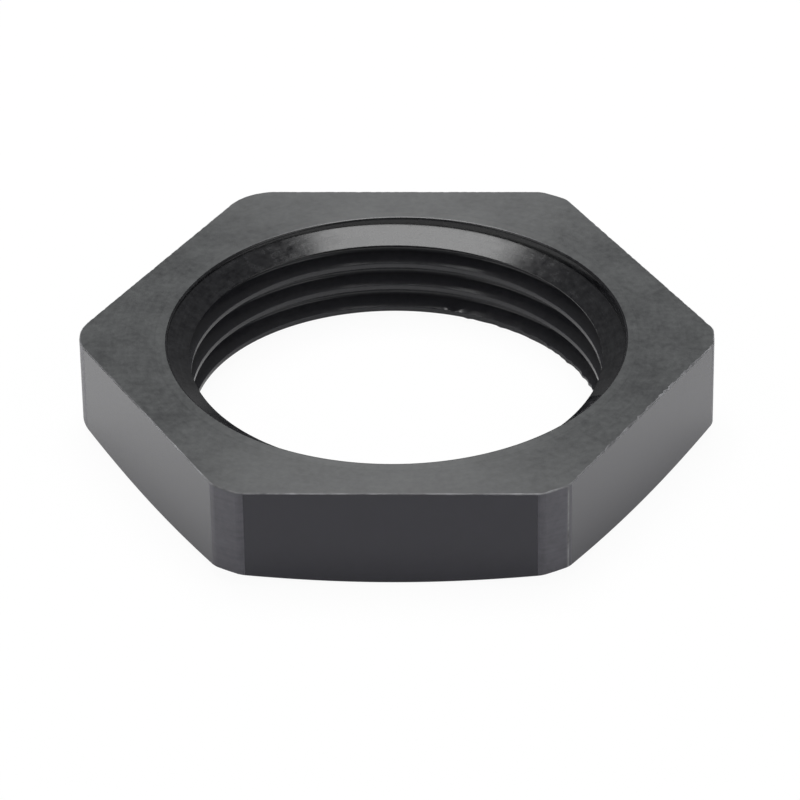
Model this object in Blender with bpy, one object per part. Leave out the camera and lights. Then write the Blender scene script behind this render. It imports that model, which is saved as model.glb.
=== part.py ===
"""Cable gland locknut, M25 x 1.5, cut in one piece from black polyamide hexagon bar.

Metres, +Z up. The nut lies on its chamfered underside. Its origin is the middle of that face, its thread
axis is +Z, and two of its corners point along +X and -X.
"""

import math

import bmesh
import bpy
from mathutils import Matrix, Vector

# Thread, right-hand, with the standard metric profile
MAJOR_DIAMETER = 0.025
PITCH = 0.0015
THREAD_ANGLE = math.radians(60)  # between the two flanks
START_ANGLE = math.radians(-6)  # where the middle of a crest reaches the level of the upper face

# Hexagon
WALL = 0.0035  # plastic between the thread's major diameter and each flat
ACROSS_FLATS = MAJOR_DIAMETER + 2 * WALL
HEIGHT = 0.006
CORNER_TURN_OFF = 0.000475  # how far in the turned outline cuts each sharp corner
BEARING_WIDTH = 0.0025  # flat ring on the underside, from the thread's major diameter to the chamfer
CHAMFER_ANGLE = math.radians(15)  # underside chamfer, measured from the face

# Mouths of the bore
MOUTH_CLEARANCE = 0.0005  # upper mouth beyond the thread's major radius
MOUTH_STEP = 0.00045  # upright step at the rim of the upper mouth
LOWER_MOUTH_WIDTH = 0.00036  # lower mouth beyond the thread's minor radius
MOUTH_ANGLE = math.radians(120)  # included angle of both countersinks

# Facets, and how far the cutting shapes reach past the faces they cut
TURN_STEPS = 120
OVERRUN = 0.001

HEX_SIDES = 6
AXIS = Vector((0.0, 0.0, 1.0))
CENTRE = Vector((0.0, 0.0, 0.0))
WELD = 1e-7

# Sizes that follow from the ones above
corner_radius = ACROSS_FLATS / 2 / math.cos(math.pi / HEX_SIDES) - CORNER_TURN_OFF
sharp_depth = PITCH / 2 / math.tan(THREAD_ANGLE / 2)  # height of the thread's full triangle
major_radius = MAJOR_DIAMETER / 2
minor_radius = major_radius - 5 / 8 * sharp_depth
mouth_radius = major_radius + MOUTH_CLEARANCE
bearing_radius = major_radius + BEARING_WIDTH
chamfer_rise = (corner_radius - bearing_radius) * math.tan(CHAMFER_ANGLE)


def clear_scene():
    """Remove every object that is in the file."""
    for old in list(bpy.data.objects):
        bpy.data.objects.remove(old, do_unlink=True)


def add_object(name, bm):
    """Turn a finished bmesh into an object of the scene."""
    bmesh.ops.remove_doubles(bm, verts=bm.verts, dist=WELD)
    bmesh.ops.recalc_face_normals(bm, faces=bm.faces)
    mesh = bpy.data.meshes.new(name)
    bm.to_mesh(mesh)
    bm.free()
    result = bpy.data.objects.new(name, mesh)
    bpy.context.scene.collection.objects.link(result)
    return result


def add_profile(bm, points):
    """Draw a chain of edges through (radius, height) points on the +X side of the axis."""
    verts = [bm.verts.new((radius, 0.0, height)) for radius, height in points]
    edges = [bm.edges.new(pair) for pair in zip(verts, verts[1:])]
    return verts + edges


def fill_ends(bm):
    """Close every open end of a turned wall with one flat face."""
    open_edges = [edge for edge in bm.edges if edge.is_boundary]
    bmesh.ops.holes_fill(bm, edges=open_edges, sides=0)


def turned_solid(name, points):
    """Turn a chain of (radius, height) points round the axis and close its two ends."""
    bm = bmesh.new()
    bmesh.ops.spin(
        bm,
        geom=add_profile(bm, points),
        cent=CENTRE,
        axis=AXIS,
        angle=math.tau,
        steps=TURN_STEPS,
        use_merge=True,
    )
    fill_ends(bm)
    return add_object(name, bm)


def turned_blank():
    """The outline before its flats: turned corners, a flat upper face and a coned underside."""
    outline = [
        (bearing_radius, 0.0),
        (corner_radius, chamfer_rise),
        (corner_radius, HEIGHT),
    ]
    return turned_solid("locknut", outline)


def hexagon_bar():
    """A six-sided bar that runs past both faces and gives the nut its flats."""
    bm = bmesh.new()
    sharp_radius = ACROSS_FLATS / 2 / math.cos(math.pi / HEX_SIDES)
    corners = []
    for side in range(HEX_SIDES):
        turn = Matrix.Rotation(math.tau * side / HEX_SIDES, 3, AXIS)
        corners.append(bm.verts.new(turn @ Vector((sharp_radius, 0.0, -OVERRUN))))
    base = bm.faces.new(corners)
    sides = bmesh.ops.extrude_face_region(bm, geom=[base])
    top = [item for item in sides["geom"] if isinstance(item, bmesh.types.BMVert)]
    bmesh.ops.translate(bm, verts=top, vec=AXIS * (HEIGHT + 2 * OVERRUN))
    return add_object("hexagon_bar", bm)


def thread_profile():
    """One pitch of the bore's wall, from the lower edge of a crest to the lower edge of the next."""
    crest_half = PITCH / 8
    root_half = PITCH / 16
    return [
        (minor_radius, -crest_half),
        (minor_radius, crest_half),
        (major_radius, PITCH / 2 - root_half),
        (major_radius, PITCH / 2 + root_half),
        (minor_radius, PITCH - crest_half),
    ]


def tap():
    """A solid with the thread's form, long enough to run out past both faces of the nut."""
    turns = math.ceil(HEIGHT / PITCH) + 4
    start = HEIGHT - (turns - 2) * PITCH
    bm = bmesh.new()
    profile = [(radius, height + start) for radius, height in thread_profile()]
    bmesh.ops.spin(
        bm,
        geom=add_profile(bm, profile),
        cent=CENTRE,
        axis=AXIS,
        dvec=AXIS * (PITCH / TURN_STEPS),
        angle=math.tau * turns,
        steps=TURN_STEPS * turns,
    )
    bmesh.ops.remove_doubles(bm, verts=bm.verts, dist=WELD)
    close_tap_end(bm, start - PITCH, below=True)
    close_tap_end(bm, start + (turns + 1) * PITCH, below=False)
    bmesh.ops.triangulate(bm, faces=bm.faces)
    bmesh.ops.rotate(bm, verts=bm.verts, cent=CENTRE, matrix=Matrix.Rotation(START_ANGLE, 3, AXIS))
    return add_object("tap", bm)


def close_tap_end(bm, height, below):
    """Draw the open end of the tap's spiral wall together in one point on the axis."""
    middle = HEIGHT / 2
    rim = [
        edge
        for edge in bm.edges
        if edge.is_boundary and (edge.verts[0].co.z < middle) == below
    ]
    drawn = bmesh.ops.extrude_edge_only(bm, edges=rim)
    tip = [item for item in drawn["geom"] if isinstance(item, bmesh.types.BMVert)]
    bmesh.ops.pointmerge(bm, verts=tip, merge_co=AXIS * height)


def upper_mouth():
    """The upright step and the countersink that open the bore at the upper face."""
    step_floor = HEIGHT - MOUTH_STEP
    core_radius = minor_radius - OVERRUN
    cone_tip = step_floor - (mouth_radius - core_radius) / math.tan(MOUTH_ANGLE / 2)
    outline = [
        (core_radius, cone_tip),
        (mouth_radius, step_floor),
        (mouth_radius, HEIGHT + OVERRUN),
    ]
    return turned_solid("upper_mouth", outline)


def lower_mouth():
    """The small countersink that opens the bore at the underside and leaves the thread's runout."""
    slope = math.tan(MOUTH_ANGLE / 2)
    core_radius = minor_radius - OVERRUN
    rim_radius = minor_radius + LOWER_MOUTH_WIDTH
    outline = [
        (rim_radius + OVERRUN * slope, -OVERRUN),
        (core_radius, (rim_radius - core_radius) / slope),
    ]
    return turned_solid("lower_mouth", outline)


def combine(body, tool, operation):
    """Cut or trim the body with a shape that stays in the file as a wire guide."""
    tool.display_type = "WIRE"
    tool.hide_render = True
    modifier = body.modifiers.new(tool.name, "BOOLEAN")
    modifier.operation = operation
    modifier.object = tool
    modifier.solver = "EXACT"


def polyamide():
    """Black polyamide with a satin, slightly greyed surface, as turning leaves it."""
    material = bpy.data.materials.new("black_polyamide")
    material.use_nodes = True
    shader = material.node_tree.nodes["Principled BSDF"]
    shader.inputs["Base Color"].default_value = (0.060, 0.062, 0.063, 1.0)
    shader.inputs["Roughness"].default_value = 0.5
    shader.inputs["Metallic"].default_value = 0.0
    return material


def build():
    """Make the nut: the blank, its flats, its thread and the two mouths of its bore."""
    clear_scene()
    nut = turned_blank()
    combine(nut, hexagon_bar(), "INTERSECT")
    combine(nut, tap(), "DIFFERENCE")
    combine(nut, upper_mouth(), "DIFFERENCE")
    combine(nut, lower_mouth(), "DIFFERENCE")
    nut.data.materials.append(polyamide())


build()
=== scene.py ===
"""The looks of an M25 cable gland locknut, cut from black polyamide hexagon bar.

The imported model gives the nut's place and its overall size. This script models the nut again as one fine
piece in the same space, with burred edges and a rounded thread, gives each surface the finish of the
process that made it, and sets the nut on a plain white floor under soft studio lamps.
"""

from __future__ import annotations

import logging
import math
from dataclasses import dataclass
from enum import Enum
from typing import Any

import bmesh
import bpy
from mathutils import Matrix, Quaternion, Vector, noise


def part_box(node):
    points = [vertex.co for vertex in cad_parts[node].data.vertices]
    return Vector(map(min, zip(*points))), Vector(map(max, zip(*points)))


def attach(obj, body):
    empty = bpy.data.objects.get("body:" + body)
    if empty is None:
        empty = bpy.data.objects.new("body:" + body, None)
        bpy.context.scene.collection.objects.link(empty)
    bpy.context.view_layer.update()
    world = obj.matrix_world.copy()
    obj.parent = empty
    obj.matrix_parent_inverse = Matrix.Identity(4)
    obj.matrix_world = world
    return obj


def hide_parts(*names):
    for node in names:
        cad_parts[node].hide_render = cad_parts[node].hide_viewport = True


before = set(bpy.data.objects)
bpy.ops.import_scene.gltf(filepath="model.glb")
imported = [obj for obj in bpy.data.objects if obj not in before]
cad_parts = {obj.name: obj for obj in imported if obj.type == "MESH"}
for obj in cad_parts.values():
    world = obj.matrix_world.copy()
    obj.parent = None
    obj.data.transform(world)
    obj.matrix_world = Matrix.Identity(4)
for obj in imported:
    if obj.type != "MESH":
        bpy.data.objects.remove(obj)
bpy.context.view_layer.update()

LOG = logging.getLogger("locknut")

MM = 0.001
NODE = "locknut"
BODY = "root"

AXIS = Vector((0.0, 0.0, 1.0))
CENTRE = Vector((0.0, 0.0, 0.0))
FLAT = (1.0, 1.0, 0.0)  # factor that takes a place's height away
WELD = 1e-7
HEX_SIDES = 6
MARK_RADIUS = 14.0 * MM  # where marks round the axis have the length that their finish gives
RING_RADIUS = 13.4 * MM  # middle of the ring that the countersink's collar scuffed
RING_HALF_WIDTH = 0.3 * MM
RING_LINE_HALF_WIDTH = 0.05 * MM
WORN_CORNERS = (2, 3)  # the rear left and the left one, counted from +X

# How the surfaces are told apart
LEVEL = 0.999  # a normal's height from which its face counts as level
SLOPED = 0.05  # a normal's height up to which its face counts as upright
ON_FLAT = 0.005  # turn off the nearest flat, as a share of the turn between two flats
ON_STRIP = 0.44  # the same for a turned corner strip, where 0.5 is its middle
HIGHLIGHT_LINE_FROM = 0.2  # the same for the facet beside a flat that carries a painted highlight line
HIGHLIGHT_LINE_TO = 0.3
HIGHLIGHT_LINE_SIDE = 0.5  # how far the normal of that facet points along +X at least
SHARP_EDGE = math.radians(20)  # bend from which an edge of the blank is rounded
SMOOTH_BEND = math.radians(38)  # bend up to which the shading runs on over an edge

Point = tuple[float, float]


class Zone(Enum):
    """The nut's surfaces by how each was made. The value is the index of its material."""

    FACED = 0
    TURNED = 1
    BAR = 2
    SUNK = 3
    TAPPED = 4
    TORN_AND_PAINTED_HIGHLIGHT = 5


class Lay(Enum):
    """The way in which the fine marks of a process run."""

    ROUND = "round the axis"
    UPRIGHT = "along the axis"


def linear_colour(hex_code: str) -> tuple[float, float, float, float]:
    """Turn an sRGB hex code into the linear colour that a shader takes.

    Args:
        hex_code: Six hex digits after a hash sign.

    Returns:
        Linear red, green, blue and an alpha of one.
    """
    channels = []
    for start in (1, 3, 5):
        value = int(hex_code[start : start + 2], 16) / 255
        # The two branches are the sRGB standard's own
        channels.append(value / 12.92 if value <= 0.04045 else ((value + 0.055) / 1.055) ** 2.4)
    return (channels[0], channels[1], channels[2], 1.0)


def per_metre(size_mm: float) -> float:
    """Give the texture scale at which one cell of a pattern has a real size.

    Args:
        size_mm: The cell's size in millimetres.

    Returns:
        Cells in a metre.
    """
    return 1000.0 / size_mm


def add_node(tree: bpy.types.NodeTree, kind: str, feeds: dict[Any, Any], **settings: Any) -> bpy.types.Node:
    """Add a node to a material or a world.

    Args:
        tree: The node tree.
        kind: The node's type name.
        feeds: For each input socket, by name or by number, the socket that feeds it or its constant value.
        **settings: Fields of the node.

    Returns:
        The new node.
    """
    node = tree.nodes.new(kind)
    for name, value in settings.items():
        setattr(node, name, value)
    for name, value in feeds.items():
        if isinstance(value, bpy.types.NodeSocket):
            tree.links.new(value, node.inputs[name])
        else:
            node.inputs[name].default_value = value
    return node


def fillet(before: Point, corner: Point, after: Point, radius: float, steps: int) -> list[Point]:
    """Round one corner of an outline with an arc.

    Args:
        before: The outline's point before the corner.
        corner: The corner.
        after: The outline's point after the corner.
        radius: The arc's radius.
        steps: Straight steps in the arc.

    Returns:
        The arc's points, in the outline's direction.
    """
    start = Vector(corner)
    back = (Vector(before) - start).normalized()
    ahead = (Vector(after) - start).normalized()
    half = back.angle(ahead) / 2
    middle = start + (back + ahead).normalized() * (radius / math.sin(half))
    first = start + back * (radius / math.tan(half)) - middle
    last = start + ahead * (radius / math.tan(half)) - middle
    sweep = first.angle_signed(last)
    points = []
    for step in range(steps + 1):
        turn = Matrix.Rotation(-sweep * step / steps, 2)
        place = middle + turn @ first
        points.append((place.x, place.y))
    return points


def rounded_outline(points: list[Point], radii: list[float], steps: int) -> list[Point]:
    """Round every inner corner of an open outline.

    Args:
        points: The outline's sharp points.
        radii: The radius of each corner but the two ends.
        steps: Straight steps in each corner's arc.

    Returns:
        The outline with its two ends kept and an arc at each other point.
    """
    outline = [points[0]]
    for before, corner, after, radius in zip(points, points[1:], points[2:], radii):
        outline.extend(fillet(before, corner, after, radius, steps))
    outline.append(points[-1])
    return outline


def add_chain(bm: bmesh.types.BMesh, points: list[Point]) -> list[Any]:
    """Draw a chain of edges on the +X side of the axis.

    Args:
        bm: The bmesh to draw in.
        points: Radius and height of each vertex.

    Returns:
        The chain's vertices and edges.
    """
    verts = [bm.verts.new((radius, 0.0, height)) for radius, height in points]
    edges = [bm.edges.new(pair) for pair in zip(verts, verts[1:])]
    return verts + edges


def link_mesh(name: str, bm: bmesh.types.BMesh) -> bpy.types.Object:
    """Make an object of a finished bmesh.

    Args:
        name: The object's name.
        bm: The bmesh, which is freed.

    Returns:
        The object, at the origin.
    """
    bmesh.ops.remove_doubles(bm, verts=bm.verts, dist=WELD)
    bmesh.ops.recalc_face_normals(bm, faces=bm.faces)
    mesh = bpy.data.meshes.new(name)
    bm.to_mesh(mesh)
    bm.free()
    piece = bpy.data.objects.new(name, mesh)
    bpy.context.scene.collection.objects.link(piece)
    return piece


def turned_shape(points: list[Point], steps: int) -> bmesh.types.BMesh:
    """Turn an outline round the axis and close its two ends with flat faces.

    Args:
        points: Radius and height of each point of the outline.
        steps: Steps in the full turn.

    Returns:
        A closed bmesh.
    """
    bm = bmesh.new()
    bmesh.ops.spin(
        bm,
        geom=add_chain(bm, points),
        cent=CENTRE,
        axis=AXIS,
        angle=math.tau,
        steps=steps,
        use_merge=True,
    )
    open_edges = [edge for edge in bm.edges if edge.is_boundary]
    bmesh.ops.holes_fill(bm, edges=open_edges, sides=0)
    return bm


@dataclass(frozen=True)
class CutPolyamide:
    """Black polyamide 6.6 with the marks of the tool or die that shaped it.

    The resin is nearly black, and most of what the eye sees of it is the soft reflection of pale
    surroundings. Fine marks that all run one way draw that reflection out across them, so a turned face
    looks brighter before and behind the axis than beside it.

    Attributes:
        name: The material's name.
        lay: The way in which the marks run.
        resin: Colour of the clean resin.
        bloom: Colour where the surface is torn or worn pale; on the torn finish it also paints a highlight
            along edges.
        bloom_share: How much of the bloom shows where it is thickest.
        roughness: Mean roughness.
        anisotropy: How far the reflection is drawn out across the marks.
        roughness_spread: How far the roughness differs from the mean.
        mark_mm: Width of one mark, drawn several times as wide as a real one so that it shows.
        mark_run_mm: Length of one mark.
        mark_share: How much of the fine pattern is marks, where the rest is grain.
        grain_mm: Width of the surface's fine grain.
        patch_mm: Width of a dull or shiny patch.
        patch_share: How much of the whole pattern is patches, where the rest is the fine one.
        contrast: How sharply worn spots stand out from clean ones.
        relief_mm: Depth of the marks and the grain.
        ring_lift: How much paler the surface is in the ring that the countersink's collar scuffed.
        ior: Refractive index, 1.53 for polyamide 6.6, and lower where the real surface mirrors less.
    """

    name: str
    lay: Lay
    resin: str
    bloom: str
    bloom_share: float
    roughness: float
    anisotropy: float
    roughness_spread: float = 0.08
    mark_mm: float = 0.18
    mark_run_mm: float = 2.0
    mark_share: float = 0.25
    grain_mm: float = 0.40
    patch_mm: float = 1.6
    patch_share: float = 0.3
    contrast: float = 3.0
    relief_mm: float = 0.004
    ring_lift: float = 0.0
    ior: float = 1.53

    def material(self) -> bpy.types.Material:
        """Build the material.

        Returns:
            The material, whose colour, roughness and relief follow the same wear.
        """
        material = bpy.data.materials.new(self.name)
        material.use_nodes = True
        tree = material.node_tree
        shader = tree.nodes["Principled BSDF"]
        place = add_node(tree, "ShaderNodeTexCoord", {}).outputs["Object"]
        wear = self.wear(tree, place)
        pale = self.rubbed_ring(tree, place, wear) if self.ring_lift else wear
        shown = add_node(tree, "ShaderNodeMapRange", {"Value": pale, "To Max": self.bloom_share})
        tones = {0: shown.outputs["Result"], 6: linear_colour(self.resin), 7: linear_colour(self.bloom)}
        colour = add_node(tree, "ShaderNodeMix", tones, data_type="RGBA")
        smooth = self.roughness - self.roughness_spread
        rough = self.roughness + self.roughness_spread
        gloss = add_node(tree, "ShaderNodeMapRange", {"Value": wear, "To Min": smooth, "To Max": rough})
        depth = {"Strength": 1.0, "Distance": self.relief_mm * MM, "Height": wear}
        relief = add_node(tree, "ShaderNodeBump", depth)
        tree.links.new(colour.outputs[2], shader.inputs["Base Color"])
        tree.links.new(gloss.outputs["Result"], shader.inputs["Roughness"])
        tree.links.new(relief.outputs["Normal"], shader.inputs["Normal"])
        tree.links.new(self.across(tree, place), shader.inputs["Tangent"])
        shader.inputs["Anisotropic"].default_value = self.anisotropy
        shader.inputs["IOR"].default_value = self.ior
        return material

    def across(self, tree: bpy.types.NodeTree, place: bpy.types.NodeSocket) -> bpy.types.NodeSocket:
        """Find the direction square to the marks, in which they draw the reflection out.

        Args:
            tree: The material's nodes.
            place: Object coordinates.

        Returns:
            The direction, in the surface.
        """
        along: Any = tuple(AXIS)
        if self.lay is Lay.ROUND:
            turned = {0: tuple(AXIS), 1: place}
            along = add_node(tree, "ShaderNodeVectorMath", turned, operation="CROSS_PRODUCT").outputs[0]
        normal = add_node(tree, "ShaderNodeNewGeometry", {}).outputs["Normal"]
        square = add_node(tree, "ShaderNodeVectorMath", {0: along, 1: normal}, operation="CROSS_PRODUCT")
        unit = add_node(tree, "ShaderNodeVectorMath", {0: square.outputs[0]}, operation="NORMALIZE")
        return unit.outputs[0]

    def mark_place(self, tree: bpy.types.NodeTree, place: bpy.types.NodeSocket) -> bpy.types.NodeSocket:
        """Stretch the surface's coordinates along the marks.

        Marks round the axis take their place from the direction and the distance from the axis, so that
        they close on themselves without a seam.

        Args:
            tree: The material's nodes.
            place: Object coordinates.

        Returns:
            Coordinates in which a mark is one cell wide and one cell long.
        """
        width = per_metre(self.mark_mm)
        run = per_metre(self.mark_run_mm)
        if self.lay is Lay.UPRIGHT:
            scale = {0: place, 1: (width, width, run)}
            return add_node(tree, "ShaderNodeVectorMath", scale, operation="MULTIPLY").outputs[0]
        flat = add_node(tree, "ShaderNodeVectorMath", {0: place, 1: FLAT}, operation="MULTIPLY").outputs[0]
        reach = add_node(tree, "ShaderNodeVectorMath", {0: flat}, operation="LENGTH").outputs["Value"]
        heading = add_node(tree, "ShaderNodeVectorMath", {0: flat}, operation="NORMALIZE").outputs[0]
        around = {0: heading, "Scale": MARK_RADIUS * run}
        turn = add_node(tree, "ShaderNodeVectorMath", around, operation="SCALE").outputs[0]
        height = add_node(tree, "ShaderNodeSeparateXYZ", {0: place}).outputs["Z"]
        depth = add_node(tree, "ShaderNodeMath", {0: reach, 1: height}, operation="ADD").outputs[0]
        cells = add_node(tree, "ShaderNodeMath", {0: depth, 1: width}, operation="MULTIPLY").outputs[0]
        rise = add_node(tree, "ShaderNodeCombineXYZ", {"Z": cells}).outputs[0]
        return add_node(tree, "ShaderNodeVectorMath", {0: turn, 1: rise}, operation="ADD").outputs[0]

    def wear(self, tree: bpy.types.NodeTree, place: bpy.types.NodeSocket) -> bpy.types.NodeSocket:
        """Lay tool marks, fine grain and wide patches over each other.

        Args:
            tree: The material's nodes.
            place: Object coordinates.

        Returns:
            A value from 0, clean and smooth, to 1, torn and pale.
        """
        layers = []
        for where, scale, detail, roughness in (
            (self.mark_place(tree, place), 1.0, 2.0, 0.5),
            (place, per_metre(self.grain_mm), 2.0, 0.6),
            (place, per_metre(self.patch_mm), 4.0, 0.6),
        ):
            feeds = {"Vector": where, "Scale": scale, "Detail": detail, "Roughness": roughness}
            layers.append(add_node(tree, "ShaderNodeTexNoise", feeds).outputs["Fac"])
        marks, grain, patches = layers
        fine = add_node(tree, "ShaderNodeMix", {0: self.mark_share, 2: grain, 3: marks}).outputs[0]
        mixed = add_node(tree, "ShaderNodeMix", {0: self.patch_share, 2: fine, 3: patches})
        noise_mean = 0.5
        reach = 0.5 / self.contrast
        limits = {"From Min": noise_mean - reach, "From Max": noise_mean + reach}
        return add_node(tree, "ShaderNodeMapRange", {"Value": mixed.outputs[0], **limits}).outputs["Result"]

    def rubbed_ring(
        self, tree: bpy.types.NodeTree, place: bpy.types.NodeSocket, wear: bpy.types.NodeSocket
    ) -> bpy.types.NodeSocket:
        """Rub a pale ring round the bore's mouth, with a darker line at its outer edge.

        Args:
            tree: The material's nodes.
            place: Object coordinates.
            wear: How worn the surface is without the ring.

        Returns:
            How worn it is with the ring.
        """
        flat = add_node(tree, "ShaderNodeVectorMath", {0: place, 1: FLAT}, operation="MULTIPLY").outputs[0]
        reach = add_node(tree, "ShaderNodeVectorMath", {0: flat}, operation="LENGTH").outputs["Value"]
        level = wear
        for middle, half_width, lift in (
            (RING_RADIUS, RING_HALF_WIDTH, self.ring_lift),
            (RING_RADIUS + RING_HALF_WIDTH, RING_LINE_HALF_WIDTH, -self.ring_lift),
        ):
            near = {0: reach, 1: middle, 2: half_width}
            inside = add_node(tree, "ShaderNodeMath", near, operation="COMPARE").outputs[0]
            lifted = {0: inside, 1: lift, 2: level}
            level = add_node(tree, "ShaderNodeMath", lifted, operation="MULTIPLY_ADD").outputs[0]
        return level


@dataclass
class NutBody:
    """The nut before its bore is cut: a turned blank with six flats and softly rounded edges.

    Attributes:
        low: Lowest corner of the nut's box.
        high: Highest corner of the nut's box.
        bearing_radius: Radius at which the underside's chamfer starts.
        chamfer_angle: Slope of the chamfer from the underside.
        edge_round: Width of the rounding along the outer edges.
        worn_round: Width of the rounding at the upright edges of the two worn corners.
        soft_round: Width of the rounding at the other upright edges.
        corner_facets: Facets in each of these roundings.
        edge_segments: Facets in the rounding along an outer edge.
        ragged: How far the burr on the upper outline wanders.
        torn_ragged: How far it wanders where the right-hand front flat was torn.
        ragged_run: Length of one tooth of the burr.
        tooth_share: How much of the burr's run is teeth, from -1 for none to 1 for all of it.
        tear_falloff: How quickly the torn burr fades away from the middle of its flat.
        turn_steps: Steps in a full turn.
        edge_step: Length of the pieces into which the flats' long edges are divided for the burr.
    """

    low: Vector
    high: Vector
    bearing_radius: float = 15.4 * MM
    chamfer_angle: float = math.radians(13.3)
    edge_round: float = 0.10 * MM
    worn_round: float = 0.8 * MM
    soft_round: float = 0.3 * MM
    corner_facets: int = 4
    edge_segments: int = 3
    ragged: float = 0.04 * MM
    torn_ragged: float = 0.22 * MM
    ragged_run: float = 0.3 * MM
    tooth_share: float = 0.2
    tear_falloff: int = 12
    turn_steps: int = 360
    edge_step: float = 0.12 * MM

    @property
    def corner_radius(self) -> float:
        """Radius of the turned corners."""
        return (self.high.x - self.low.x) / 2

    @property
    def apothem(self) -> float:
        """Distance from the axis to a flat."""
        return (self.high.y - self.low.y) / 2

    def mesh(self) -> bmesh.types.BMesh:
        """Turn the blank, cut its flats and round its edges.

        Returns:
            The closed body without its bore.
        """
        rise = (self.corner_radius - self.bearing_radius) * math.tan(self.chamfer_angle)
        outline = [
            (self.bearing_radius, self.low.z),
            (self.corner_radius, self.low.z + rise),
            (self.corner_radius, self.high.z),
        ]
        bm = turned_shape(outline, self.turn_steps)
        for side in range(HEX_SIDES):
            self.cut_plane(bm, math.tau * (side + 0.5) / HEX_SIDES, self.apothem, CENTRE)
        for side in range(HEX_SIDES):
            width = self.worn_round if side in WORN_CORNERS else self.soft_round
            self.wear_corner(bm, math.tau * side / HEX_SIDES, width)
        bmesh.ops.remove_doubles(bm, verts=bm.verts, dist=WELD)
        self.round_edges(bm)
        self.tear_outline(bm)
        return bm

    def cut_plane(self, bm: bmesh.types.BMesh, angle: float, reach: float, middle: Vector) -> None:
        """Cut away what lies beyond an upright plane.

        Args:
            bm: The blank.
            angle: Direction in which the plane faces.
            reach: The plane's distance from the middle.
            middle: A point that the distance is measured from.
        """
        facing = Matrix.Rotation(angle, 3, AXIS) @ Vector((1.0, 0.0, 0.0))
        everything = list(bm.verts) + list(bm.edges) + list(bm.faces)
        bmesh.ops.bisect_plane(
            bm,
            geom=everything,
            dist=WELD,
            plane_co=middle + facing * reach,
            plane_no=facing,
            clear_outer=True,
        )
        rim = [edge for edge in bm.edges if edge.is_boundary]
        bmesh.ops.holes_fill(bm, edges=rim, sides=0)

    def wear_corner(self, bm: bmesh.types.BMesh, heading: float, width: float) -> None:
        """Round the two upright edges of a turned corner with narrow planed facets.

        Args:
            bm: The blank with its flats.
            heading: Direction of the corner.
            width: Width of the rounding on each side of an edge.
        """
        for side in (-1.0, 1.0):
            flat = heading + side * math.pi / HEX_SIDES
            bend = math.acos(self.apothem / self.corner_radius)
            radius = width / math.tan(bend / 2)
            edge = Matrix.Rotation(flat - side * bend, 3, AXIS) @ Vector((self.corner_radius, 0.0, 0.0))
            facing = Matrix.Rotation(flat, 3, AXIS) @ Vector((1.0, 0.0, 0.0))
            along = AXIS.cross(facing) * side
            middle = edge + along * width - facing * radius
            for step in range(1, self.corner_facets + 1):
                turn = flat - side * bend * step / (self.corner_facets + 1)
                self.cut_plane(bm, turn, radius, middle)

    def tear_outline(self, bm: bmesh.types.BMesh) -> None:
        """Let the burr on the upper outline wander inwards, most of all on the right-hand front flat.

        Args:
            bm: The blank with its rounded edges.
        """
        torn_side = Matrix.Rotation(-math.pi / HEX_SIDES, 3, AXIS) @ Vector((1.0, 0.0, 0.0))
        just_below = 1.1 * self.edge_round
        for vert in bm.verts:
            depth = self.high.z - vert.co.z
            if depth > just_below:
                continue
            out = Vector((vert.co.x, vert.co.y, 0.0)).normalized()
            tear = max(0.0, out.dot(torn_side)) ** self.tear_falloff
            reach = self.ragged + (self.torn_ragged - self.ragged) * tear
            place = Vector((vert.co.x, vert.co.y, 0.0)) / self.ragged_run
            tooth = max(0.0, noise.noise(place) + self.tooth_share)
            share = depth / self.edge_round
            vert.co -= out * (reach * tooth * (1.0 - share))
            vert.co.z -= reach * tooth * share

    def round_edges(self, bm: bmesh.types.BMesh) -> None:
        """Round the upper and the lower outline. Long edges are divided first, so that the burr can follow.

        Args:
            bm: The blank with its flats and its worn corners.
        """
        sharp = [edge for edge in bm.edges if edge.calc_face_angle(0.0) > SHARP_EDGE]
        long_from = 4 * self.edge_step
        for edge in [edge for edge in sharp if edge.calc_length() > long_from]:
            cuts = round(edge.calc_length() / self.edge_step) - 1
            bmesh.ops.subdivide_edges(bm, edges=[edge], cuts=cuts)
        sharp = [edge for edge in bm.edges if edge.calc_face_angle(0.0) > SHARP_EDGE]
        bmesh.ops.bevel(
            bm,
            geom=sharp,
            offset=self.edge_round,
            offset_type="OFFSET",
            affect="EDGES",
            segments=self.edge_segments,
            profile=0.5,
            material=-1,
            clamp_overlap=True,
        )


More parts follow.
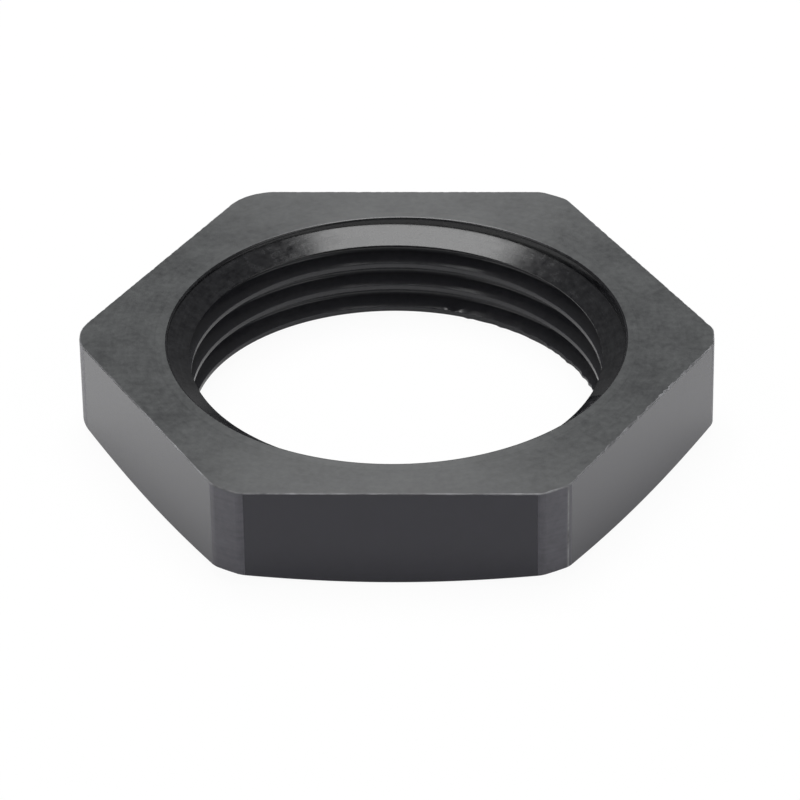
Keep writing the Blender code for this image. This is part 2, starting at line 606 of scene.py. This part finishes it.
@dataclass
class ThreadedBore:
    """The shapes that open the nut: a thread, a stepped countersink above and a countersink below.

    Attributes:
        floor_z: Height of the nut's underside.
        face_z: Height of the nut's upper face.
        major_radius: Radius over the thread's roots.
        pitch: Rise of the thread in one turn.
        half_angle: Slope of a flank from a plane square to the axis.
        start_angle: Direction in which a crest's middle is level with the upper face.
        crest_half: Half the width of a crest.
        crest_round: Radius of a crest's two corners.
        root_round: Radius of a root's two corners.
        mouth_radius: Radius of the upper mouth.
        mouth_step: Depth of the upright step at the upper mouth.
        mouth_half_angle: Angle between the countersinks and the axis.
        mouth_lean: How much lower the upper countersink lies at +X, and higher at -X, than midway.
        lower_mouth_width: How far the lower mouth is wider than the crests, on each side.
        rim_round: Radius of the upper mouth's rim.
        fray: Greatest length of a fibre on the lowest crest.
        fray_run: Spacing of the fibres.
        fray_from: Direction in which the fibres start.
        fray_to: Direction in which they end.
        overrun: How far a cutting shape reaches past what it cuts.
        spare_turns: Turns that the tap has beyond the nut's height.
        turn_steps: Steps in a full turn.
        corner_steps: Steps in each rounded corner of an outline.
    """

    floor_z: float
    face_z: float
    major_radius: float = 12.5 * MM
    pitch: float = 1.5 * MM
    half_angle: float = math.radians(30)
    start_angle: float = math.radians(-30)
    crest_half: float = 0.145 * MM
    crest_round: float = 0.05 * MM
    root_round: float = 0.2 * MM
    mouth_radius: float = 13.0 * MM
    mouth_step: float = 0.45 * MM
    mouth_half_angle: float = math.radians(63.5)
    mouth_lean: float = 0.25 * MM
    lower_mouth_width: float = 0.36 * MM
    rim_round: float = 0.12 * MM
    fray: float = 0.17 * MM
    fray_run: float = 0.35 * MM
    fray_from: float = math.radians(5)
    fray_to: float = math.radians(75)
    overrun: float = 1.0 * MM
    spare_turns: int = 3
    turn_steps: int = 240
    corner_steps: int = 3

    @property
    def minor_radius(self) -> float:
        """Radius over the crests, from the standard thread form."""
        return self.major_radius - 5 / 8 * self.pitch / 2 / math.tan(self.half_angle)

    def thread_outline(self) -> list[Point]:
        """Draw one pitch of the wall, from mid-crest to mid-crest, with rounded corners.

        Returns:
            Radius and height of each point.
        """
        flank = self.crest_half + (self.major_radius - self.minor_radius) * math.tan(self.half_angle)
        sharp = [
            (self.minor_radius, 0.0),
            (self.minor_radius, self.crest_half),
            (self.major_radius, flank),
            (self.major_radius, self.pitch - flank),
            (self.minor_radius, self.pitch - self.crest_half),
            (self.minor_radius, self.pitch),
        ]
        radii = [self.crest_round, self.root_round, self.root_round, self.crest_round]
        return rounded_outline(sharp, radii, self.corner_steps)

    def tap(self) -> bmesh.types.BMesh:
        """Wind the thread's outline into a closed solid that runs out past both faces.

        Returns:
            The shape that cuts the thread.
        """
        turns = math.ceil((self.face_z - self.floor_z) / self.pitch) + self.spare_turns
        start = self.face_z - (turns - 1) * self.pitch
        bm = bmesh.new()
        outline = [(radius, height + start) for radius, height in self.thread_outline()]
        bmesh.ops.spin(
            bm,
            geom=add_chain(bm, outline),
            cent=CENTRE,
            axis=AXIS,
            dvec=AXIS * (self.pitch / self.turn_steps),
            angle=math.tau,
            steps=self.turn_steps,
        )
        one_turn = list(bm.verts) + list(bm.edges) + list(bm.faces)
        for turn in range(1, turns):
            copy = bmesh.ops.duplicate(bm, geom=one_turn)
            verts = [item for item in copy["geom"] if isinstance(item, bmesh.types.BMVert)]
            bmesh.ops.translate(bm, verts=verts, vec=AXIS * (turn * self.pitch))
        bmesh.ops.remove_doubles(bm, verts=bm.verts, dist=WELD)
        self.close_end(bm, start - self.pitch, below=True)
        self.close_end(bm, start + (turns + 1) * self.pitch, below=False)
        bmesh.ops.rotate(bm, verts=bm.verts, cent=CENTRE, matrix=Matrix.Rotation(self.start_angle, 3, AXIS))
        return bm

    def close_end(self, bm: bmesh.types.BMesh, height: float, below: bool) -> None:
        """Draw one open end of the winding together in a point.

        Args:
            bm: The winding.
            height: Height of the point on the axis.
            below: Whether it is the lower end.
        """
        middle = (self.floor_z + self.face_z) / 2
        rim = [edge for edge in bm.edges if edge.is_boundary and (edge.verts[0].co.z < middle) == below]
        drawn = bmesh.ops.extrude_edge_only(bm, edges=rim)
        tip = [item for item in drawn["geom"] if isinstance(item, bmesh.types.BMVert)]
        bmesh.ops.pointmerge(bm, verts=tip, merge_co=AXIS * height)

    def upper_mouth(self) -> bmesh.types.BMesh:
        """Turn the step and the leaning countersink of the upper face, with a rounded rim.

        Returns:
            The shape that cuts them.
        """
        step_floor = self.face_z - self.mouth_step
        core = self.minor_radius - self.overrun
        outline = [
            (core, step_floor - (self.mouth_radius - core) / math.tan(self.mouth_half_angle)),
            (self.mouth_radius, step_floor),
        ]
        for step in range(self.corner_steps + 1):
            turn = math.pi / 2 * step / self.corner_steps
            radius = self.mouth_radius + self.rim_round * (1 - math.cos(turn))
            height = self.face_z - self.rim_round * (1 - math.sin(turn))
            outline.append((radius, height))
        outline.append((outline[-1][0], self.face_z + self.overrun))
        bm = turned_shape(outline, self.turn_steps)
        for vert in bm.verts:
            if vert.co.z < step_floor + WELD:
                vert.co.z -= self.lean(vert.co)
        return bm

    def lean(self, place: Vector) -> float:
        """Tell how far the countersink hangs lower on one side of the axis."""
        return self.mouth_lean * place.x / place.xy.length

    def is_sunk(self, place: Vector) -> bool:
        """Tell whether a place in the bore lies on the step or the countersink of the upper face.

        Args:
            place: A point of the bore's wall.

        Returns:
            Whether it lies there, and not on the thread.
        """
        step_floor = self.face_z - self.mouth_step - self.lean(place)
        cone = step_floor - (self.mouth_radius - place.xy.length) / math.tan(self.mouth_half_angle)
        return place.z > cone - self.rim_round / 2

    def fray_rim(self, mesh: bpy.types.Mesh) -> None:
        """Pull fibres out of the lowest crest, where the tap left the bore.

        Args:
            mesh: The cut nut.
        """
        for vert in mesh.vertices:
            angle = math.atan2(vert.co.y, vert.co.x)
            low = vert.co.z < self.floor_z + self.pitch / 2
            crest = vert.co.xy.length < self.minor_radius + self.crest_round
            if low and crest and self.fray_from < angle < self.fray_to:
                pull = max(0.0, noise.noise(vert.co / self.fray_run)) * self.fray
                out = Vector((vert.co.x, vert.co.y, 0.0)).normalized()
                vert.co -= out * pull

    def lower_mouth(self) -> bmesh.types.BMesh:
        """Turn the countersink of the underside.

        Returns:
            The shape that cuts it.
        """
        slope = math.tan(self.mouth_half_angle)
        core = self.minor_radius - self.overrun
        rim = self.minor_radius + self.lower_mouth_width
        outline = [
            (rim + self.overrun * slope, self.floor_z - self.overrun),
            (core, self.floor_z + (rim - core) / slope),
        ]
        return turned_shape(outline, self.turn_steps)


@dataclass
class Locknut:
    """The finished nut: its body, its bore and the finish of each surface.

    Attributes:
        low: Lowest corner of the nut's box.
        high: Highest corner of the nut's box.
        faced: Finish of the upper face and of the ring that the nut lies on.
        turned: Finish of the corner strips, the chamfer and the worn edges.
        bar: Finish of the six flats.
        sunk: Finish of the upper step and the countersink.
        tapped: Finish of the thread.
        torn: Finish of the burr, pale partly from tearing and partly as a painted highlight, and of the
            pale line beside a flat, which is a painted highlight.
    """

    low: Vector
    high: Vector
    # A facing tool left fine rings, so the face is dull grey, with a sheen before and behind the axis
    faced: CutPolyamide = CutPolyamide(
        "faced_polyamide",
        Lay.ROUND,
        resin="#434445",
        bloom="#6e7070",
        bloom_share=0.46,
        roughness=0.50,
        anisotropy=0.9,
        patch_mm=2.5,
        patch_share=0.45,
        contrast=3.5,
        ring_lift=0.12,
    )
    # The same tool ran over the corners at a coarser feed, which gives soft grey strips with level marks
    turned: CutPolyamide = CutPolyamide(
        "turned_polyamide",
        Lay.ROUND,
        resin="#38373d",
        bloom="#686770",
        bloom_share=0.6,
        roughness=0.46,
        anisotropy=0.7,
        mark_share=0.5,
        contrast=2.0,
        relief_mm=0.002,
    )
    # The flats are the drawn bar's own skin: smooth and nearly black, so they mirror the pale floor
    bar: CutPolyamide = CutPolyamide(
        "drawn_polyamide",
        Lay.UPRIGHT,
        resin="#181723",
        bloom="#2e2d38",
        bloom_share=0.25,
        roughness=0.20,
        roughness_spread=0.02,
        anisotropy=0.2,
        mark_run_mm=4.0,
        relief_mm=0.0005,
    )
    # The countersink's edge burnished the cone, which shows the lamp overhead as one bright band
    sunk: CutPolyamide = CutPolyamide(
        "countersunk_polyamide",
        Lay.ROUND,
        resin="#0f0f12",
        bloom="#5a5b5d",
        bloom_share=0.16,
        roughness=0.19,
        roughness_spread=0.06,
        anisotropy=0.2,
        mark_share=0.4,
        patch_share=0.35,
        relief_mm=0.0005,
        ior=1.49,
    )
    # The tap pressed the thread smooth, so the flanks stay black and each crest is one grey line
    tapped: CutPolyamide = CutPolyamide(
        "tapped_polyamide",
        Lay.ROUND,
        resin="#2b2b2f",
        bloom="#5a5b5d",
        bloom_share=0.08,
        roughness=0.18,
        roughness_spread=0.06,
        anisotropy=0.3,
        relief_mm=0.002,
        ior=1.46,
    )
    # Where the plastic tore instead of being cut it is stretched pale, with darker gaps between; the same
    # pale colour is also a painted highlight along the upper edges and on the upright edges that face right
    torn: CutPolyamide = CutPolyamide(
        "torn_polyamide_and_painted_highlight",
        Lay.ROUND,
        resin="#303032",
        bloom="#9c9c9f",
        bloom_share=0.95,
        roughness=0.55,
        anisotropy=0.0,
        grain_mm=0.7,
        patch_mm=4.0,
        patch_share=0.5,
        contrast=2.5,
    )

    def build(self) -> bpy.types.Object:
        """Model and dress the nut.

        Returns:
            The nut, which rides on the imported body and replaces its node.
        """
        body = NutBody(self.low, self.high)
        bore = ThreadedBore(self.low.z, self.high.z)
        blank = link_mesh("blank", body.mesh())
        tools = [
            link_mesh("tap", bore.tap()),
            link_mesh("upper_mouth", bore.upper_mouth()),
            link_mesh("lower_mouth", bore.lower_mouth()),
        ]
        nut = self.cut(blank, tools)
        bore.fray_rim(nut.data)
        self.dress(nut, body, bore)
        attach(nut, BODY)
        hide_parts(NODE)
        return nut

    def cut(self, blank: bpy.types.Object, tools: list[bpy.types.Object]) -> bpy.types.Object:
        """Cut the bore's shapes out of the blank.

        Args:
            blank: The nut without its bore.
            tools: Closed shapes to cut with, which are removed afterwards.

        Returns:
            The nut as one plain mesh.
        """
        for tool in tools:
            modifier = blank.modifiers.new(tool.name, "BOOLEAN")
            modifier.operation = "DIFFERENCE"
            modifier.solver = "EXACT"
            modifier.object = tool
        graph = bpy.context.evaluated_depsgraph_get()
        mesh = bpy.data.meshes.new_from_object(blank.evaluated_get(graph))
        mesh.name = "nut"
        nut = bpy.data.objects.new("nut", mesh)
        bpy.context.scene.collection.objects.link(nut)
        for used in [blank, *tools]:
            bpy.data.objects.remove(used, do_unlink=True)
        return nut

    def dress(self, nut: bpy.types.Object, body: NutBody, bore: ThreadedBore) -> None:
        """Give each surface its finish and shade the rounded edges.

        Args:
            nut: The nut.
            body: Its outer form.
            bore: The shapes of its bore.
        """
        mesh = nut.data
        mesh.materials.clear()
        for finish in (self.faced, self.turned, self.bar, self.sunk, self.tapped, self.torn):
            mesh.materials.append(finish.material())
        for face in mesh.polygons:
            face.material_index = self.zone(face, body, bore).value
        mesh.shade_smooth()
        mesh.set_sharp_from_angle(angle=SMOOTH_BEND)
        self.keep_flats(mesh)
        weighted = nut.modifiers.new("even_shading", "WEIGHTED_NORMAL")
        weighted.keep_sharp = True

    def keep_flats(self, mesh: bpy.types.Mesh) -> None:
        """Part the shading at the border of each flat, and between the upper face and the bore's rim.

        Args:
            mesh: The nut with its zones.
        """
        bm = bmesh.new()
        bm.from_mesh(mesh)
        for edge in bm.edges:
            kinds = {face.material_index for face in edge.link_faces}
            beside_flat = Zone.BAR.value in kinds and len(kinds) > 1
            if beside_flat or kinds == {Zone.FACED.value, Zone.SUNK.value}:
                edge.smooth = False
        bm.to_mesh(mesh)
        bm.free()

    def zone(self, face: bpy.types.MeshPolygon, body: NutBody, bore: ThreadedBore) -> Zone:
        """Tell how the surface under a face was made.

        Args:
            face: The face.
            body: The nut's outer form.
            bore: The shapes of its bore.

        Returns:
            The face's zone.
        """
        centre = face.center
        facing = face.normal
        if abs(facing.z) > LEVEL:
            return Zone.FACED
        if math.hypot(centre.x, centre.y) < bore.mouth_radius + bore.rim_round:
            return Zone.SUNK if bore.is_sunk(centre) else Zone.TAPPED
        # The pale finish on the upper outline is partly torn plastic and partly a painted highlight along
        # the rounded edge
        burr_floor = self.high.z - 2 * body.edge_round - body.torn_ragged
        if centre.z > burr_floor and facing.z > SLOPED:
            return Zone.TORN_AND_PAINTED_HIGHLIGHT
        angle = math.atan2(facing.y, facing.x)
        off_flat = abs((angle / (math.tau / HEX_SIDES)) % 1.0 - 0.5)
        if abs(facing.z) > SLOPED or off_flat > ON_STRIP:
            return Zone.TURNED
        if off_flat < ON_FLAT:
            return Zone.BAR
        # The facets beside the flats that face right take the pale finish as a painted highlight along
        # their upright edges
        painted_edge_highlight = facing.x > HIGHLIGHT_LINE_SIDE and HIGHLIGHT_LINE_FROM < off_flat < HIGHLIGHT_LINE_TO
        return Zone.TORN_AND_PAINTED_HIGHLIGHT if painted_edge_highlight else Zone.TURNED


@dataclass
class Studio:
    """The floor, the lamps and the camera round the nut.

    A level is how bright a surface looks, where a white wall in plain light has 1.

    Attributes:
        centre: Middle of the nut's box.
        distance: From there to the camera.
        azimuth: Turn of the camera round the nut, from straight in front towards +X.
        elevation: Height of the camera above the horizon, as an angle.
        roll: Turn of the camera about its own line of sight.
        aim_right: How far the camera aims to the right of the centre.
        aim_up: How far it aims above the centre.
        lens: Its focal length in millimetres.
        sensor: Width of its sensor in millimetres.
        near: Nearest thing that it sees, in metres.
        far: Farthest thing that it sees, in metres.
        overhead_place: Where the overhead lamp hangs, in metres.
        overhead_width: Its width.
        overhead_depth: Its depth.
        overhead_level: How bright its face is.
        side_azimuth: Direction of the side lamps, from straight beside the nut towards the front.
        side_elevation: Their height above the horizon, as an angle.
        side_distance: From the nut to each of them.
        side_size: Width and depth of each.
        side_level: How bright their faces are.
        wall_top: Height up to which the surroundings are as bright as the wall, as an angle.
        ceiling_edge: Height from which they are as dim as the ceiling.
        wall_level: How bright the wall is.
        ceiling_level: How bright the ceiling is.
        floor_size: Length of the floor's sides.
        floor_gap: How far the floor lies under the nut, so that no two faces share a plane.
        white_seen: How much of the floor is plain white to the camera, where the rest is lit paper.
        white_mirrored: How much of it is plain white in the nut's reflections.
        dim_within: Distance from the nut's middle, to either side, up to which that white is dim.
        bright_beyond: Distance from which it is bright.
        dim_level: How bright it is up to the first distance.
        bright_level: How bright it is from the second.
    """

    centre: Vector
    distance: float = 297.64 * MM
    azimuth: float = math.radians(1.689)
    elevation: float = math.radians(32.775)
    roll: float = math.radians(-0.842)
    aim_right: float = 0.145 * MM
    aim_up: float = -1.122 * MM
    lens: float = 235.03
    sensor: float = 36.0
    near: float = 0.01
    far: float = 20.0
    overhead_place: tuple[float, float, float] = (-0.021, 0.12, 0.5)
    overhead_width: float = 0.335
    overhead_depth: float = 0.34
    overhead_level: float = 6.4
    side_azimuth: float = math.radians(28)
    side_elevation: float = math.radians(35)
    side_distance: float = 0.55
    side_size: float = 0.36
    side_level: float = 1.15
    wall_top: float = math.radians(2)
    ceiling_edge: float = math.radians(9)
    wall_level: float = 0.4
    ceiling_level: float = 0.15
    floor_size: float = 6.0
    floor_gap: float = 0.02 * MM
    white_seen: float = 0.95
    white_mirrored: float = 0.5
    dim_within: float = 9.0 * MM
    bright_beyond: float = 22.0 * MM
    dim_level: float = 0.7
    bright_level: float = 1.85

    def build(self) -> None:
        """Set up the floor, the world, the lamps and the camera."""
        self.add_floor()
        self.add_world()
        self.add_lamp(
            "overhead_softbox",
            Vector(self.overhead_place),
            self.overhead_width,
            self.overhead_depth,
            self.overhead_level,
        )
        for name, side in (("right_softbox", 1.0), ("left_softbox", -1.0)):
            reach = self.side_distance * math.cos(self.side_elevation)
            across = side * reach * math.cos(self.side_azimuth)
            ahead = -reach * math.sin(self.side_azimuth)
            height = self.side_distance * math.sin(self.side_elevation)
            place = Vector((across, ahead, height))
            self.add_lamp(name, place, self.side_size, self.side_size, self.side_level)
        self.add_camera()
        bpy.context.scene.view_settings.view_transform = "Standard"

    def add_floor(self) -> None:
        """Lay a white floor under the nut that keeps a soft shadow."""
        bm = bmesh.new()
        bmesh.ops.create_grid(bm, x_segments=1, y_segments=1, size=self.floor_size / 2)
        bmesh.ops.translate(bm, verts=bm.verts, vec=-AXIS * self.floor_gap)
        floor = link_mesh("floor", bm)
        material = bpy.data.materials.new("white_floor")
        material.use_nodes = True
        tree = material.node_tree
        tree.nodes.clear()
        paper = add_node(tree, "ShaderNodeBsdfDiffuse", {"Color": linear_colour("#ffffff")})
        white = add_node(tree, "ShaderNodeEmission", {"Strength": self.brightness(tree)})
        layers = {0: self.whiteness(tree), 1: paper.outputs[0], 2: white.outputs[0]}
        surface = add_node(tree, "ShaderNodeMixShader", layers).outputs[0]
        add_node(tree, "ShaderNodeOutputMaterial", {"Surface": surface})
        floor.data.materials.append(material)

    def whiteness(self, tree: bpy.types.NodeTree) -> bpy.types.NodeSocket:
        """Tell how much of the floor is plain white to each kind of ray, where the rest is lit paper.

        Args:
            tree: The nodes of the floor.

        Returns:
            A high share for camera and transmission rays, a middling one for glossy rays, so that the
            paper's shade near the nut shows in its flats, and none for diffuse rays.
        """
        path = add_node(tree, "ShaderNodeLightPath", {})
        either = {0: path.outputs["Is Camera Ray"], 1: path.outputs["Is Transmission Ray"]}
        through = add_node(tree, "ShaderNodeMath", either, operation="MAXIMUM").outputs[0]
        share = {0: through, 1: self.white_seen}
        seen = add_node(tree, "ShaderNodeMath", share, operation="MULTIPLY").outputs[0]
        both = {0: path.outputs["Is Glossy Ray"], 1: self.white_mirrored, 2: seen}
        return add_node(tree, "ShaderNodeMath", both, operation="MULTIPLY_ADD").outputs[0]

    def brightness(self, tree: bpy.types.NodeTree) -> bpy.types.NodeSocket:
        """Tell how bright the floor's plain white is. The nut mirrors it brighter at both sides.

        Args:
            tree: The nodes of the floor.

        Returns:
            One to the camera, and to glossy rays a level that rises from the middle to both sides.
        """
        place = add_node(tree, "ShaderNodeTexCoord", {}).outputs["Object"]
        across = add_node(tree, "ShaderNodeSeparateXYZ", {0: place}).outputs["X"]
        beside = add_node(tree, "ShaderNodeMath", {0: across}, operation="ABSOLUTE").outputs[0]
        mirrored = add_node(
            tree,
            "ShaderNodeMapRange",
            {
                "Value": beside,
                "From Min": self.dim_within,
                "From Max": self.bright_beyond,
                "To Min": self.dim_level,
                "To Max": self.bright_level,
            },
        )
        path = add_node(tree, "ShaderNodeLightPath", {})
        either = {0: path.outputs["Is Glossy Ray"], 2: 1.0, 3: mirrored.outputs["Result"]}
        return add_node(tree, "ShaderNodeMix", either).outputs[0]

    def add_world(self) -> None:
        """Surround the nut with a grey wall near the horizon and a dim ceiling, white to the camera."""
        world = bpy.data.worlds.new("grey_wall_and_dim_ceiling")
        world.use_nodes = True
        tree = world.node_tree
        tree.nodes.clear()
        heading = add_node(tree, "ShaderNodeTexCoord", {}).outputs["Generated"]
        height = add_node(tree, "ShaderNodeSeparateXYZ", {0: heading}).outputs["Z"]
        level = add_node(
            tree,
            "ShaderNodeMapRange",
            {
                "Value": height,
                "From Min": math.sin(self.wall_top),
                "From Max": math.sin(self.ceiling_edge),
                "To Min": self.wall_level,
                "To Max": self.ceiling_level,
            },
        )
        path = add_node(tree, "ShaderNodeLightPath", {})
        either = {0: path.outputs["Is Camera Ray"], 1: level.outputs["Result"]}
        seen = add_node(tree, "ShaderNodeMath", either, operation="MAXIMUM").outputs[0]
        white = {"Color": linear_colour("#ffffff"), "Strength": seen}
        light = add_node(tree, "ShaderNodeBackground", white).outputs[0]
        add_node(tree, "ShaderNodeOutputWorld", {"Surface": light})
        bpy.context.scene.world = world

    def add_lamp(self, name: str, place: Vector, width: float, depth: float, level: float) -> None:
        """Hang a flat lamp that faces the nut.

        Args:
            name: The lamp's name.
            place: Where it hangs.
            width: Its width.
            depth: Its depth.
            level: How bright its face is.
        """
        data = bpy.data.lights.new(name, "AREA")
        data.shape = "RECTANGLE"
        data.size = width
        data.size_y = depth
        data.energy = level * math.pi * width * depth  # pi watts from each square metre at level 1
        lamp = bpy.data.objects.new(name, data)
        lamp.location = place
        lamp.visible_camera = False
        back = (place - self.centre).normalized()
        across = Vector((0.0, 1.0, 0.0)).cross(back).normalized()
        lamp.rotation_euler = Matrix((across, back.cross(across), back)).transposed().to_euler()
        bpy.context.scene.collection.objects.link(lamp)

    def add_camera(self) -> None:
        """Stand the camera where the photograph was taken from."""
        across = math.cos(self.elevation)
        side = across * math.sin(self.azimuth)
        ahead = -across * math.cos(self.azimuth)
        back = Vector((side, ahead, math.sin(self.elevation)))
        right = AXIS.cross(back).normalized()
        up = back.cross(right)
        place = self.centre + back * self.distance
        aim = self.centre + right * self.aim_right + up * self.aim_up
        data = bpy.data.cameras.new("camera")
        data.lens = self.lens
        data.sensor_width = self.sensor
        data.clip_start = self.near
        data.clip_end = self.far
        camera = bpy.data.objects.new("camera", data)
        camera.location = place
        camera.rotation_mode = "QUATERNION"
        level = (aim - place).to_track_quat("-Z", "Y")
        camera.rotation_quaternion = level @ Quaternion((0.0, 0.0, 1.0), self.roll)
        bpy.context.scene.collection.objects.link(camera)
        bpy.context.scene.camera = camera


def main() -> None:
    """Build the nut and its studio, and report each piece."""
    logging.basicConfig(level=logging.INFO, format="%(name)s: %(message)s")
    low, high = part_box(NODE)
    nut = Locknut(low, high).build()
    nut.data.calc_loop_triangles()
    LOG.info("%s: %d triangles", nut.name, len(nut.data.loop_triangles))
    Studio((low + high) / 2).build()
    LOG.info("studio ready")


if __name__ == "__main__":
    main()
